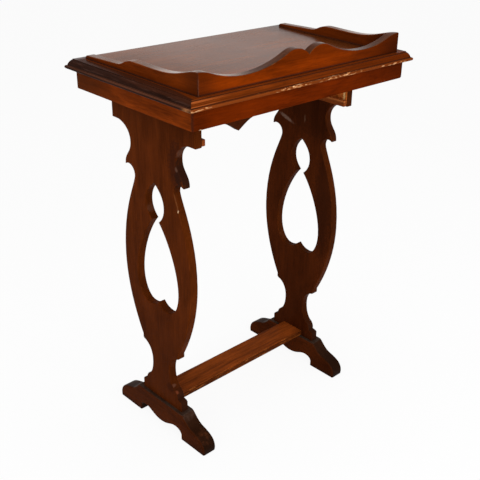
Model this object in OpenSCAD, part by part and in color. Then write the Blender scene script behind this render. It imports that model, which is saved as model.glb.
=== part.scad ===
// Book stand: a small trestle table with a gallery on three sides, pierced lyre panels and sledge feet.
// Millimetres. X runs along the length, -Y is the long side with the gallery, Z is up from the floor.

/* [Top] */
// Height of the table surface above the floor
top_z = 700; // [670:1:760]
// Length over the moulded edge
top_len = 515; // [490:1:570]
// Depth over the moulded edge
top_dep = 321; // [300:1:370]
// Thickness of the top board
top_t = 16.5; // [15:0.5:22]

/* [Moulded edge] */
// Width of the moulding, seen from above
edge_w = 10; // [9:0.5:13]
// Height of the square fillet under the upper arris
edge_fillet = 1.5; // [0.5:0.5:3]
// Set-out of the ovolo under that fillet
edge_step = 0.5; // [0.5:0.5:2]
// Fullness of the ovolo, from a flat chamfer at 0 to a quarter round at 1
edge_bulge = 0.5; // [0:0.1:1]
// Radius of the lower bead
bead_r = 3; // [2:0.5:4]
// Set-back of the ovolo's foot from the middle of the bead
quirk = 0.5; // [0.5:0.5:2]

/* [Gallery] */
// Thickness of the gallery boards
gallery_t = 15.5; // [13:0.5:18]
// From the moulded edge to the long gallery board
gallery_in_long = 17.5; // [16:0.5:24]
// From the moulded edge to the end gallery boards
gallery_in_end = 27.5; // [18:0.5:36]
// Height of the gallery at its corners
corner_h = 34; // [28:0.5:45]
// Height of the two humps of the long board
hump_h = 40.5; // [34:0.1:55]
// Distance of a hump from the middle
hump_x = 29.5; // [22:0.5:36]
// Depth of the notch between the humps
notch_d = 12.2; // [6:0.1:16]
// Height of the long board in its scoops
scoop_h = 17; // [15:0.5:24]
// Distance of a scoop from the middle
scoop_x = 136; // [110:1:150]
// Height of the end boards in their scoops
dip_h = 19; // [16:0.1:22]
// Distance of that scoop from the corner
dip_in = 98; // [60:1:105]
// Rise of the end boards from the scoop to the hump
knee_rise = 0.6; // [0.2:0.1:5]
// Distance of that hump from the corner
knee_in = 155; // [135:1:165]
// Length of the drop from the hump to the low run
drop_len = 45; // [30:1:56]
// Height of the low run where it starts
run_h = 8.4; // [8:0.1:14]
// Height of the low run at the open side
run_end_h = 5.4; // [5:0.1:8]
// From the moulded edge to the end of the low run
run_end_in = 20; // [14:0.5:28]

/* [Apron] */
// Height of the apron boards
apron_h = 32; // [26:1:45]
// Thickness of the apron boards
apron_t = 10; // [8:0.5:12]
// Overhang of the moulded edge over the apron
overhang = 13; // [9:0.5:15]
// Length of the short sides of a corner block
block_w = 26; // [16:1:30]
// Set-back of a corner block from the apron's lower edge
block_up = 4; // [1:0.5:8]

/* [Trestle] */
// Set-back of the trestle from the middle of the top
setback = 27; // [0:0.5:28]
// From the moulded edge to the middle plane of a panel
leg_end = 77; // [68:0.5:90]
// Thickness of a panel
leg_t = 16; // [14:0.5:20]
// Gap between the ears and the rear apron
ear_gap = 1.5; // [0.5:0.5:6]

/* [Panel outline] */
// Depth of the ears below the top board
ear_drop = 87.5; // [76:0.5:94]
// Length of the level stretch under an ear
ear_flat = 13; // [8:0.5:20]
// Half width inside the scoop under the ears
scoop_w = 60.5; // [54:0.5:64]
// Depth of that scoop below the top board
scoop_drop = 120.5; // [112:0.5:128]
// Half width over the beaks
beak_w = 78; // [70:0.5:82]
// Depth of the beaks below the top board
beak_drop = 163.5; // [152:0.5:168]
// Half width at the waist under the beaks
waist_w = 52.5; // [47:0.5:55]
// Depth of the waist below the top board
waist_drop = 180; // [176:0.5:190]
// Half width of the lyre at its widest
belly_w = 93.5; // [86:0.5:104]
// Height of that widest place above the foot
belly_up = 281; // [266:1:296]
// Half width at the foot of the lyre
taper_w = 52; // [46:0.5:56]
// Height of the foot of the lyre above the foot
taper_up = 125; // [116:0.5:136]
// Height of the square fillet at the foot of the lyre
taper_fillet = 8; // [4:0.5:12]
// Half width of the neck
neck_w = 25; // [21:0.5:29]
// Height of the neck above the foot
neck_up = 78; // [70:0.5:86]
// Half width at the top of the base moulding
base_w = 38; // [34:0.5:42]
// Height of the base moulding above the foot
base_up = 39.5; // [34:0.5:46]
// Half width of the ovolo of the base
ovolo_w = 47; // [43:0.5:51]
// Half width of the plinth
plinth_w = 58; // [54:0.5:61]
// Height of the plinth
plinth_h = 19.5; // [15:0.5:23]
// Height of the small steps between the mouldings of the base
base_step = 2; // [1:0.5:3]

/* [Piercing] */
// Depth of the piercing's upper tip below the top board
tip_drop = 176; // [170:0.5:184]
// Half width of the upper opening
oval_w = 25.5; // [22:0.5:30]
// Depth of its widest place below the top board
oval_drop = 217.5; // [210:0.5:224]
// Half gap between the two side cusps
cusp_w = 10.5; // [8:0.5:15]
// Depth of the side cusps below the top board
cusp_drop = 248; // [242:0.5:254]
// Half width of the lower opening
pear_w = 58.5; // [54:0.5:66]
// Height of its widest place above the foot
pear_up = 257; // [248:1:266]
// Distance of the two lobes from the middle
lobe_w = 27; // [22:0.5:32]
// Height of the lobes above the foot
lobe_up = 203.5; // [196:0.5:210]
// Height of the middle cusp above the lobes
heart_h = 11; // [6:0.5:16]

/* [Feet] */
// Length of a foot
foot_len = 257; // [236:1:268]
// Height of a foot
foot_h = 58; // [52:0.5:66]
// Thickness of a foot
foot_t = 30; // [26:0.5:36]
// Half length of the flat under the panel
shoulder_w = 63; // [61:0.5:68]
// Height of the toe where the slope ends
toe_h = 35; // [30:0.5:40]
// Length of the rounded toe
toe_len = 32; // [26:0.5:38]
// Height of the upright nose of the toe
nose_h = 6; // [3:0.5:9]
// Set-back of the sole under that nose
nose_in = 1; // [0.5:0.5:3]
// Distance from the middle to the inner end of a sole
sole_in = 64; // [60:0.5:70]
// Height of the arches beside the soles
arch_h = 21.5; // [16:0.5:25]
// Height of the upright step at the inner end of a sole
riser_h = 11; // [6:0.5:14]
// Distance of the arches from the middle
arch_y = 46; // [40:0.5:52]
// Height of the foot's middle above the floor
middle_h = 9.5; // [6:0.5:14]

/* [Rails] */
// Width of the stretcher
stretch_w = 54; // [44:1:64]
// Thickness of the stretcher
stretch_t = 12; // [10:0.5:13]
// Thickness of the upper rail
rail_t = 14; // [12:0.5:18]
// Lowest point of the pendant below the top board
pendant_drop = 124; // [114:0.5:130]
// Depth of the rail's lower edge beside the pendant
rail_drop = 104; // [94:0.5:110]
// Half width of the pendant
pendant_w = 42; // [34:1:52]
// Half length of the level stretch of the rail's lower edge
level_w = 64; // [56:1:80]
// Height of a lath
lath_h = 11; // [10:0.5:18]
// Thickness of a lath
lath_t = 7; // [6:0.5:10]
// Side of a square cleat
cleat_w = 18; // [16:0.5:20]
// Set-back of a cleat's ends from the sides of the ears
cleat_in = 20; // [12:1:30]

/* [Fasteners] */
// From the gallery's corners to the outer dowels of the long board
pin_end = 55; // [40:1:70]
// From the gallery's corner to the first dowel of an end board
pin_first = 45; // [35:1:60]
// From the gallery's corner to the second dowel of an end board
pin_second = 140; // [120:1:145]
// Distance of a foot dowel from the middle of the panel
peg_y = 30; // [24:0.5:36]
// Depth of the first rail dowel below the top board
rail_pin = 20; // [14:0.5:24]
// Distance between the two dowels at an end of the rail
rail_pin_gap = 28; // [18:0.5:34]
// From a cleat's end to its upright screw
cleat_up_in = 24; // [18:1:30]
// From a cleat's end to its level screw
cleat_side_in = 52; // [44:1:60]
// Distance of a lath screw from the middle of the panel
lath_y = 40; // [30:1:60]
// Diameter of the gallery dowels
pin_d = 5; // [4:0.5:6]
// Diameter of the foot dowels
peg_d = 8; // [6:0.5:10]
// Diameter of the stretcher and rail dowels
dowel_d = 6; // [5:0.5:7]
// Depth of a gallery dowel in each of its two pieces
pin_in = 9.5; // [7:0.5:10]
// Depth of a foot dowel in each of its two pieces
peg_in = 24; // [18:0.5:26]
// Depth of a stretcher or rail dowel in the panel
dowel_in = 10; // [8:0.5:12]
// Depth of a stretcher or rail dowel in the stretcher or the rail
dowel_out = 18; // [14:0.5:24]
// Diameter of the screw shanks
screw_d = 4; // [3:0.5:4.5]
// Diameter of the screw heads
head_d = 7.5; // [6.5:0.5:8.5]
// Width of the slot in a screw head
slot_w = 1; // [0.6:0.1:1.4]
// Depth of the slot in a screw head
slot_h = 0.8; // [0.4:0.1:1.2]
// Depth of the screws in the wood that they hold to
bite = 9; // [7:0.5:11]
// Clearance between a dowel or a screw and its hole, at each side
fit_gap = 0.1; // [0.05:0.05:0.2]
// Depth of a hole beyond the end of its dowel or screw
end_gap = 0.5; // [0.2:0.1:1]

/* [Hidden] */
$fn = 48;
under_z = top_z - top_t;
half_len = top_len / 2;
half_dep = top_dep / 2;
apron_x = half_len - overhang;
apron_y = half_dep - overhang;
apron_z = under_z - apron_h;
gallery_x = half_len - gallery_in_end;
gallery_y = half_dep - gallery_in_long;
run_end_y = half_dep - run_end_in;
leg_mid = half_len - leg_end;
leg_in = leg_mid - leg_t / 2;
leg_out = leg_mid + leg_t / 2;
ear_w = apron_y - apron_t - setback - ear_gap;
cleat_half = ear_w - cleat_in;
ear_z = under_z - ear_drop;
lath_in = leg_in - lath_t;
stretch_z = foot_h + stretch_t / 2;
steps = 10;
// Places of the fasteners in their rows
long_pins = [pin_end - gallery_x, 0, gallery_x - pin_end];
end_pins = [pin_first - gallery_y, pin_second - gallery_y];
stretch_pins = [-stretch_w / 4, stretch_w / 4];
rail_pins = [rail_pin, rail_pin + rail_pin_gap];
cleat_up_y = cleat_half - cleat_up_in;
cleat_side_y = cleat_half - cleat_side_in;

// Points on a cubic curve from a to d, without the last point
// The shares u and v say how far its handles at a and at d go along the way in X and in Y
function curve(a, d, u, v, n = steps) =
    let (w = d - a, b = a + [u.x * w.x, u.y * w.y], c = d - [v.x * w.x, v.y * w.y])
    [for (i = [0:n - 1]) let (t = i / n, s = 1 - t)
        s * s * s * a + 3 * s * s * t * b + 3 * s * t * t * c + t * t * t * d];
// Points on two tangent arcs that leave a and reach b level; the first arc takes the share k of the way
function ogee(a, b, k, n = steps) = let (d = b - a, r = (d.x * d.x + d.y * d.y) / (2 * abs(d.y)),
    w = 2 * atan(abs(d.y / d.x)), sx = sign(d.x), sy = sign(d.y), p = k * r, q = r - p)
    concat([for (i = [0:n]) let (t = w * i / n) a + [sx * p * sin(t), sy * p * (1 - cos(t))]],
        [for (i = [n - 1:-1:1]) let (t = w * i / n) b - [sx * q * sin(t), sy * q * (1 - cos(t))]]);
// Points on one arc that leaves a level and ends at b, without the last point
function bow(a, b, n = steps) = let (d = b - a, r = (d.x * d.x + d.y * d.y) / (2 * abs(d.y)),
    w = 2 * atan(abs(d.y / d.x)))
    [for (i = [0:n - 1]) let (t = w * i / n) a + [sign(d.x) * r * sin(t), sign(d.y) * r * (1 - cos(t))]];
// An outline closed by its own mirror image
function both(p) = concat(p, [for (i = [len(p) - 1:-1:0]) [-p[i].x, p[i].y]]);

// Extrudes an outline drawn in Y and Z over the thickness t from x
module along_x(x, t) {
    translate([x, 0, 0]) rotate([90, 0, 90]) linear_extrude(t) children();
}

// Extrudes an outline drawn in X and Z over the thickness t from y
module along_y(y, t) {
    translate([0, y + t, 0]) rotate([90, 0, 0]) linear_extrude(t) children();
}

module left_right() {
    children();
    mirror([1, 0, 0]) children();
}

// The moulded edge in section: distance from the middle and height
module edge_section(half) {
    inner = half - edge_w;
    foot = half - bead_r - quirk;
    rise = top_t - edge_fillet - 2 * bead_r;
    out = inner + edge_step;
    k = edge_bulge;
    ovolo = [for (i = [0:steps]) let (t = i / steps, a = 90 * t)
        [out + (foot - out) * ((1 - k) * t + k * sin(a)),
            top_z - edge_fillet - rise * ((1 - k) * t + k * (1 - cos(a)))]];
    bead = [for (i = [0:2 * steps]) let (a = 90 - 180 * i / (2 * steps))
        [half - bead_r + bead_r * cos(a), under_z + bead_r + bead_r * sin(a)]];
    polygon(both(concat([[inner, top_z], [inner, top_z - edge_fillet]], ovolo, bead)));
}

// One upright hole of diameter d between two heights
module upright(d, z0, z1) {
    translate([0, 0, z0]) cylinder(d = d, h = z1 - z0);
}

// A round bar of diameter d along X between two places
module lying(d, x0, x1) {
    translate([x0, 0, 0]) rotate([0, 90, 0]) cylinder(d = d, h = x1 - x0);
}

module at_gallery_pins() {
    for (x = long_pins) translate([x, gallery_t / 2 - gallery_y, 0]) children();
    left_right() for (y = end_pins) translate([gallery_x - gallery_t / 2, y, 0]) children();
}

module at_foot_pegs() {
    left_right() for (y = [-peg_y, peg_y]) translate([leg_mid, setback + y, 0]) children();
}

module at_stretcher_pins() {
    left_right() for (y = stretch_pins) translate([leg_in, setback + y, stretch_z]) children();
}

module at_rail_pins() {
    left_right() for (d = rail_pins) translate([leg_in, setback, under_z - d]) children();
}

module at_cleat_screws() {
    left_right() for (y = [-cleat_up_y, cleat_up_y])
        translate([leg_out + cleat_w / 2, setback + y, under_z - cleat_w]) children();
}

module at_cleat_side_screws() {
    left_right() for (y = [-cleat_side_y, cleat_side_y])
        translate([leg_out + cleat_w, setback + y, under_z - cleat_w / 2]) rotate([0, -90, 0]) children();
}

module at_lath_screws() {
    left_right() for (y = [-lath_y, lath_y])
        translate([lath_in, setback + y, ear_z + lath_h / 2]) rotate([0, 90, 0]) children();
}

// A countersunk screw that starts at its head and points up; gap widens it into its hole
module screw(len, gap = 0, end = 0) {
    r = screw_d / 2 + gap;
    h = head_d / 2 + gap;
    rotate_extrude() polygon([[0, 0], [h, 0], [r, h - r], [r, len + end], [0, len + end]]);
}

module slotted_screw(len) {
    difference() {
        screw(len);
        translate([-head_d, -slot_w / 2, -slot_h]) cube([2 * head_d, slot_w, 2 * slot_h]);
    }
}

module top_board() {
    color("saddlebrown") difference() {
        intersection() {
            along_x(-half_len - 1, top_len + 2) edge_section(half_dep);
            along_y(-half_dep - 1, top_dep + 2) edge_section(half_len);
        }
        at_gallery_pins() upright(pin_d + 2 * fit_gap, top_z - pin_in - end_gap, top_z + 1);
        at_cleat_screws() screw(cleat_w + bite, fit_gap, end_gap);
    }
}

module long_outline() {
    hump = [hump_x, top_z + hump_h];
    notch = [0, hump.y - notch_d];
    scoop = [scoop_x, top_z + scoop_h];
    corner = [gallery_x, top_z + corner_h];
    rise = ogee(scoop, corner, 0.72);
    flank = ogee(hump, scoop, 0.17);
    polygon(both(concat([[gallery_x, top_z], corner],
        [for (i = [len(rise) - 1:-1:0]) rise[i]],
        [for (i = [len(flank) - 1:-1:1]) flank[i]],
        bow(hump, notch), [notch])));
}

module end_outline() {
    corner = [-gallery_y, top_z + corner_h];
    dip = [-gallery_y + dip_in, top_z + dip_h];
    knee = [-gallery_y + knee_in, top_z + dip_h + knee_rise];
    run = [-gallery_y + knee_in + drop_len, top_z + run_h];
    nose = [for (i = [1:steps]) let (a = 90 * i / steps)
        [run_end_y - run_end_h + run_end_h * sin(a), top_z + run_end_h * cos(a)]];
    polygon(concat([[-gallery_y, top_z]], curve(corner, dip, [0.28, 0], [0.6, 0]), ogee(dip, knee, 0.6),
        ogee(knee, run, 0.55), [run, [run_end_y - run_end_h, top_z + run_end_h]], nose));
}

// Plan of the mitred long board
module long_plan() {
    polygon([[-gallery_x, -gallery_y], [gallery_x, -gallery_y],
        [gallery_x - gallery_t, gallery_t - gallery_y], [gallery_t - gallery_x, gallery_t - gallery_y]]);
}

// Plan of the mitred end board on the +X side
module end_plan() {
    polygon([[gallery_x, -gallery_y], [gallery_x, run_end_y],
        [gallery_x - gallery_t, run_end_y], [gallery_x - gallery_t, gallery_t - gallery_y]]);
}

module gallery_long() {
    color("chocolate") difference() {
        intersection() {
            along_y(-gallery_y, gallery_t) long_outline();
            translate([0, 0, top_z - 1]) linear_extrude(hump_h + 2) long_plan();
        }
        at_gallery_pins() upright(pin_d + 2 * fit_gap, top_z - 1, top_z + pin_in + end_gap);
    }
}

module gallery_end() {
    difference() {
        intersection() {
            along_x(gallery_x - gallery_t, gallery_t) end_outline();
            translate([0, 0, top_z - 1]) linear_extrude(corner_h + 2) end_plan();
        }
        at_gallery_pins() upright(pin_d + 2 * fit_gap, top_z - 1, top_z + pin_in + end_gap);
    }
}

module gallery_end_left() {
    color("sienna") mirror([1, 0, 0]) gallery_end();
}

module gallery_end_right() {
    color("sienna") gallery_end();
}

module apron_long() {
    translate([0, 0, apron_z]) linear_extrude(apron_h) polygon([[-apron_x, -apron_y], [apron_x, -apron_y],
        [apron_x - apron_t, apron_t - apron_y], [apron_t - apron_x, apron_t - apron_y]]);
}

module apron_end() {
    translate([0, 0, apron_z]) linear_extrude(apron_h) polygon([[apron_x, -apron_y], [apron_x, apron_y],
        [apron_x - apron_t, apron_y - apron_t], [apron_x - apron_t, apron_t - apron_y]]);
}

module apron_front() {
    color("peru") apron_long();
}

module apron_rear() {
    color("peru") mirror([0, 1, 0]) apron_long();
}

module apron_left() {
    color("tan") mirror([1, 0, 0]) apron_end();
}

module apron_right() {
    color("tan") apron_end();
}

// The corner block in the +X, +Y corner of the apron
module corner_block() {
    x = apron_x - apron_t;
    y = apron_y - apron_t;
    translate([0, 0, apron_z + block_up]) linear_extrude(apron_h - block_up)
        polygon([[x, y], [x - block_w, y], [x, y - block_w]]);
}

module corner_block_front_left() {
    color("wheat") mirror([1, 0, 0]) mirror([0, 1, 0]) corner_block();
}

module corner_block_front_right() {
    color("wheat") mirror([0, 1, 0]) corner_block();
}

module corner_block_rear_left() {
    color("wheat") mirror([1, 0, 0]) corner_block();
}

module corner_block_rear_right() {
    color("wheat") corner_block();
}

// Half outline of a panel from the ear down to the plinth
module panel_outline() {
    scoop = [scoop_w, under_z - scoop_drop];
    beak = [beak_w, under_z - beak_drop];
    waist = [waist_w, under_z - waist_drop];
    belly = [belly_w, foot_h + belly_up];
    taper = [taper_w, foot_h + taper_up];
    fillet = [taper_w, taper.y - taper_fillet];
    neck = [neck_w, foot_h + neck_up];
    base = [base_w, foot_h + base_up];
    plinth = foot_h + plinth_h;
    lip = [ovolo_w, plinth + 2 * base_step];
    ear = [ear_w - ear_flat, ear_z];
    root = base + [-base_step, base_step];
    hollow = fillet - [base_step, base_step];
    polygon(both(concat([[ear_w, under_z], [ear_w, ear_z]],
        curve(ear, scoop, [0.5, 0.03], [0, 0.6]),
        curve(scoop, beak, [0, 0.5], [0, 0.45]),
        curve(beak, waist, [0.4, -0.34], [0, 0.97]),
        curve(waist, belly, [0.05, 0.11], [0, 0.57], 2 * steps),
        curve(belly, taper, [0, 0.4], [0.48, 0.24], 2 * steps),
        [taper, fillet],
        curve(hollow, neck, [0.55, 0.08], [0, 0.58]),
        curve(neck, root, [0, 0.4], [0.72, 0.25]),
        [root],
        curve(base, lip, [0.62, 0.13], [0, 0.46]),
        [lip, lip - [0, base_step], [plinth_w - base_step, plinth],
            [plinth_w, plinth - base_step], [plinth_w, foot_h]])));
}

// The piercing of a panel: a pointed oval over a heart, drawn together by two cusps
module piercing() {
    tip = [0, under_z - tip_drop];
    oval = [oval_w, under_z - oval_drop];
    cusp = [cusp_w, under_z - cusp_drop];
    pear = [pear_w, foot_h + pear_up];
    lobe = [lobe_w, foot_h + lobe_up];
    heart = [0, lobe.y + heart_h];
    half = concat(curve(tip, oval, [0.45, 0.22], [0, 0.5]),
        curve(oval, cusp, [0, 0.46], [0.5, 0.21]),
        curve(cusp, pear, [0.46, 0.2], [0, 0.36], 2 * steps),
        curve(pear, lobe, [0, 0.57], [0.57, 0]),
        curve(lobe, heart, [0.41, 0], [0.26, 0.73]));
    polygon(concat(half, [heart], [for (i = [len(half) - 1:-1:1]) [-half[i].x, half[i].y]]));
}

module leg() {
    difference() {
        translate([0, setback, 0]) along_x(leg_in, leg_t) difference() {
            panel_outline();
            piercing();
        }
        at_foot_pegs() upright(peg_d + 2 * fit_gap, foot_h - 1, foot_h + peg_in + end_gap);
        at_stretcher_pins() lying(dowel_d + 2 * fit_gap, -1, dowel_in + end_gap);
        at_rail_pins() lying(dowel_d + 2 * fit_gap, -1, dowel_in + end_gap);
        at_cleat_side_screws() screw(cleat_w + bite, fit_gap, end_gap);
        at_lath_screws() screw(lath_t + bite, fit_gap, end_gap);
    }
}

module leg_left() {
    color("brown") mirror([1, 0, 0]) leg();
}

module leg_right() {
    color("brown") leg();
}

module lath() {
    difference() {
        translate([lath_in, setback - ear_w, ear_z]) cube([lath_t, 2 * ear_w, lath_h]);
        at_lath_screws() screw(lath_t + bite, fit_gap, end_gap);
    }
}

module lath_left() {
    color("burlywood") mirror([1, 0, 0]) lath();
}

module lath_right() {
    color("burlywood") lath();
}

module cleat() {
    difference() {
        translate([leg_out, setback - cleat_half, under_z - cleat_w])
            cube([cleat_w, 2 * cleat_half, cleat_w]);
        at_cleat_screws() screw(cleat_w + bite, fit_gap, end_gap);
        at_cleat_side_screws() screw(cleat_w + bite, fit_gap, end_gap);
    }
}

module cleat_left() {
    color("khaki") mirror([1, 0, 0]) cleat();
}

module cleat_right() {
    color("khaki") cleat();
}

module rail_outline() {
    low = [level_w, under_z - rail_drop];
    side = [pendant_w, under_z - rail_drop];
    tip = [0, under_z - pendant_drop];
    seat = [lath_in, ear_z + lath_h];
    polygon(both(concat([[leg_in, under_z], [leg_in, seat.y]],
        curve(seat, low, [0.24, 0], [0.36, 0]),
        [low],
        curve(side, tip, [0.33, 0], [0.33, 0.45]), [tip])));
}

module upper_rail() {
    color("firebrick") difference() {
        translate([0, setback, 0]) along_y(-rail_t / 2, rail_t) rail_outline();
        at_rail_pins() lying(dowel_d + 2 * fit_gap, -dowel_out - end_gap, 1);
    }
}

module stretcher() {
    color("darkorange") difference() {
        translate([-leg_in, setback - stretch_w / 2, foot_h]) cube([2 * leg_in, stretch_w, stretch_t]);
        at_stretcher_pins() lying(dowel_d + 2 * fit_gap, -dowel_out - end_gap, 1);
    }
}

// Half outline of a foot: shoulder, sloping toe, flat sole and shaped underside
module foot_outline() {
    half = foot_len / 2;
    shoulder = [shoulder_w, foot_h];
    slope = [half - toe_len, toe_h];
    nose = [half, nose_h];
    riser = [sole_in, riser_h];
    arch = [arch_y, arch_h];
    middle = [0, middle_h];
    polygon(both(concat([[0, foot_h]],
        curve(shoulder, slope, [0.25, 0.08], [0.59, 0.2]),
        curve(slope, nose, [0.53, 0.17], [0, 0.67]),
        [nose, [half - nose_in, 0], [sole_in, 0]],
        curve(riser, arch, [0.09, 0.67], [0.51, 0]),
        curve(arch, middle, [0.35, 0], [0.48, 0]),
        [middle])));
}

module foot() {
    difference() {
        translate([0, setback, 0]) along_x(leg_mid - foot_t / 2, foot_t) foot_outline();
        at_foot_pegs() upright(peg_d + 2 * fit_gap, foot_h - peg_in - end_gap, foot_h + 1);
    }
}

module foot_left() {
    color("maroon") mirror([1, 0, 0]) foot();
}

module foot_right() {
    color("maroon") foot();
}

module gallery_dowels() {
    color("beige") at_gallery_pins() upright(pin_d, top_z - pin_in, top_z + pin_in);
}

module foot_dowels() {
    color("beige") at_foot_pegs() upright(peg_d, foot_h - peg_in, foot_h + peg_in);
}

module stretcher_dowels() {
    color("beige") at_stretcher_pins() lying(dowel_d, -dowel_out, dowel_in);
}

module rail_dowels() {
    color("beige") at_rail_pins() lying(dowel_d, -dowel_out, dowel_in);
}

module cleat_screws() {
    color("gray") at_cleat_screws() slotted_screw(cleat_w + bite);
}

module cleat_side_screws() {
    color("gray") at_cleat_side_screws() slotted_screw(cleat_w + bite);
}

module lath_screws() {
    color("gray") at_lath_screws() slotted_screw(lath_t + bite);
}

top_board();
gallery_long();
gallery_end_left();
gallery_end_right();
apron_front();
apron_rear();
apron_left();
apron_right();
corner_block_front_left();
corner_block_front_right();
corner_block_rear_left();
corner_block_rear_right();
leg_left();
leg_right();
lath_left();
lath_right();
cleat_left();
cleat_right();
upper_rail();
stretcher();
foot_left();
foot_right();
gallery_dowels();
foot_dowels();
stretcher_dowels();
rail_dowels();
cleat_screws();
cleat_side_screws();
lath_screws();
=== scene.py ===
import math

import bmesh
import bpy
from mathutils import Matrix, Vector, noise


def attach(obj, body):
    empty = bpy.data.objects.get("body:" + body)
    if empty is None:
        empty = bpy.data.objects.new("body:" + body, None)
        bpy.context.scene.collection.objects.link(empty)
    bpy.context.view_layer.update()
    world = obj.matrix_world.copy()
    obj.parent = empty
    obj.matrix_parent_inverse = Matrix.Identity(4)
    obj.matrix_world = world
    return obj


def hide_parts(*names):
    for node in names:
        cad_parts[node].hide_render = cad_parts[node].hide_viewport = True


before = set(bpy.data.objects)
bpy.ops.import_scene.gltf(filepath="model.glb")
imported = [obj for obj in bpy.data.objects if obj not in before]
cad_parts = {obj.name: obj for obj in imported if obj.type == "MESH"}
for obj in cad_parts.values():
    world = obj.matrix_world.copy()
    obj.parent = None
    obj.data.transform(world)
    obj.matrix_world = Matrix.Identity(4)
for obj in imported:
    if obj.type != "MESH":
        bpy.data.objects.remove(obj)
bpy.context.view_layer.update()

# Sizes of the table, in metres, as in the part's source
TOP_Z = 0.700
UNDER_Z = 0.6835
HALF_LEN = 0.2575
HALF_DEP = 0.1605
EDGE_W = 0.010
EDGE_FILLET = 0.0015
EDGE_STEP = 0.0005
BEAD_R = 0.003
BEAD_TOP = UNDER_Z + 2 * BEAD_R
BEAD_BAND = UNDER_Z + 1.9 * BEAD_R
QUIRK = 0.0005
BEAD_CORNER = 0.0022
GALLERY_T = 0.0155
GALLERY_X = 0.230
GALLERY_Y = 0.143
APRON_X = 0.2445
APRON_Y = 0.1475
APRON_T = 0.010
APRON_LOW = 0.6515
KNOCKED = 0.0030
SETBACK = 0.027
LEG_MID = 0.1805
LEG_T = 0.016
LEG_IN = LEG_MID - LEG_T / 2
FOOT_H = 0.058
FOOT_T = 0.030
EAR_W = 0.109
EAR_Z = 0.596
LATH_IN = 0.1655
LATH_H = 0.011
RAIL_T = 0.014
TIE_HALF = 0.027
TIE_T = 0.012

# Curve steps for each stretch of an outline, and the roundings and easings of the arrises
CURVE_STEPS = 12
ROUND_STEPS = 4
ROUND_PANEL = 0.0026
ROUND_FOOT = 0.0040
ROUND_GALLERY = 0.0016
ROUND_RAIL = 0.0014
EASE_TOP = 0.0004
EASE_APRON = 0.0010
EASE_LATH = 0.0007
EASE_TIE = 0.0016
# Share of a rounding that a slanting view takes off an outline, and that the outline gets back
LOST = 0.41

# Extra length and height of a board, in millimetres, before it is sawn to its mitre or its level
MITRE_SPARE = 6
SUNK = 4
# Extra length of an apron board at each end before its mitres are sawn
APRON_SPARE = 0.001


def mm(*numbers):
    """A point of an outline, given in millimetres."""
    return Vector([n / 1000 for n in numbers])


def srgb(red, green, blue):
    """A colour as the eye reads it, 0 to 255, as a linear colour."""
    def linear(c):
        c /= 255
        return c / 12.92 if c <= 0.04045 else ((c + 0.055) / 1.055) ** 2.4
    return linear(red), linear(green), linear(blue), 1.0


# Outlines

def bend(u, v):
    """A curved stretch: the shares say how far its handles go along the way at both ends."""
    def handles(a, d):
        way = d - a
        return (a + Vector((u[0] * way.x, u[1] * way.y)),
                d - Vector((v[0] * way.x, v[1] * way.y)))
    return handles


def arc_from_level(a, d):
    """One arc that leaves a level."""
    way = d - a
    radius = way.length_squared / (2 * abs(way.y))
    sweep = 2 * math.atan(abs(way.y / way.x))
    reach = 4 / 3 * math.tan(sweep / 4) * radius
    sx, sy = math.copysign(1, way.x), math.copysign(1, way.y)
    return (a + Vector((sx * reach, 0)),
            d - reach * Vector((sx * math.cos(sweep), sy * math.sin(sweep))))


def arc_to_level(a, d):
    """One arc that reaches d level."""
    first, second = arc_from_level(d, a)
    return second, first


def ogee(a, d, share):
    """Two tangent arcs, level at a and at d, as steps of an outline."""
    middle = a + share * (d - a)
    return (middle, arc_from_level), (d, arc_to_level)


def outline(start, *steps):
    """Knots of an open line: place, handle before it, handle after it (None beside a straight edge)."""
    knots = [[start, None, None]]
    for step in steps:
        place, curve = step if isinstance(step, tuple) else (step, None)
        leaving, reaching = curve(knots[-1][0], place) if curve else (None, None)
        knots[-1][2] = leaving
        knots.append([place, reaching, None])
    return knots


def both_sides(half):
    """A half outline closed by its mirror image; knots on the middle line are shared."""
    def flip(p):
        return p and Vector((-p.x, p.y))
    knots = [list(k) for k in half]
    image = [[flip(k[0]), flip(k[2]), flip(k[1])] for k in reversed(half)]
    if abs(knots[-1][0].x) < 1e-9:
        knots[-1][2] = image[0][2]
        image = image[1:]
    if abs(knots[0][0].x) < 1e-9:
        knots[0][1] = image[-1][1]
        image = image[:-1]
    return knots + image


def panel_outline():
    """A panel from its ears, down the lyre, to its plinth."""
    return both_sides(outline(
        mm(109, 683.5), mm(109, 596), mm(96, 596),
        (mm(60.5, 563), bend((0.5, 0.03), (0, 0.6))),
        (mm(78, 520), bend((0, 0.5), (0, 0.45))),
        (mm(52.5, 503.5), bend((0.4, -0.34), (0, 0.97))),
        (mm(93.5, 339), bend((0.05, 0.11), (0, 0.57))),
        (mm(52, 183), bend((0, 0.4), (0.48, 0.24))),
        mm(52, 175), mm(50, 173),
        (mm(25, 136), bend((0.55, 0.08), (0, 0.58))),
        (mm(36, 99.5), bend((0, 0.4), (0.72, 0.25))),
        mm(38, 97.5),
        (mm(47, 81.5), bend((0.62, 0.13), (0, 0.46))),
        mm(47, 79.5), mm(56, 77.5), mm(58, 75.5), mm(58, 58 - SUNK)))


def piercing_outline():
    """The opening in a panel: an oval above a pear."""
    return both_sides(outline(
        mm(0, 507.5),
        (mm(25.5, 466), bend((0.45, 0.22), (0, 0.5))),
        (mm(10.5, 435.5), bend((0, 0.46), (0.5, 0.21))),
        (mm(58.5, 315), bend((0.46, 0.2), (0, 0.36))),
        (mm(27, 261.5), bend((0, 0.57), (0.57, 0))),
        (mm(0, 272.5), bend((0.41, 0), (0.26, 0.73)))))


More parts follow.
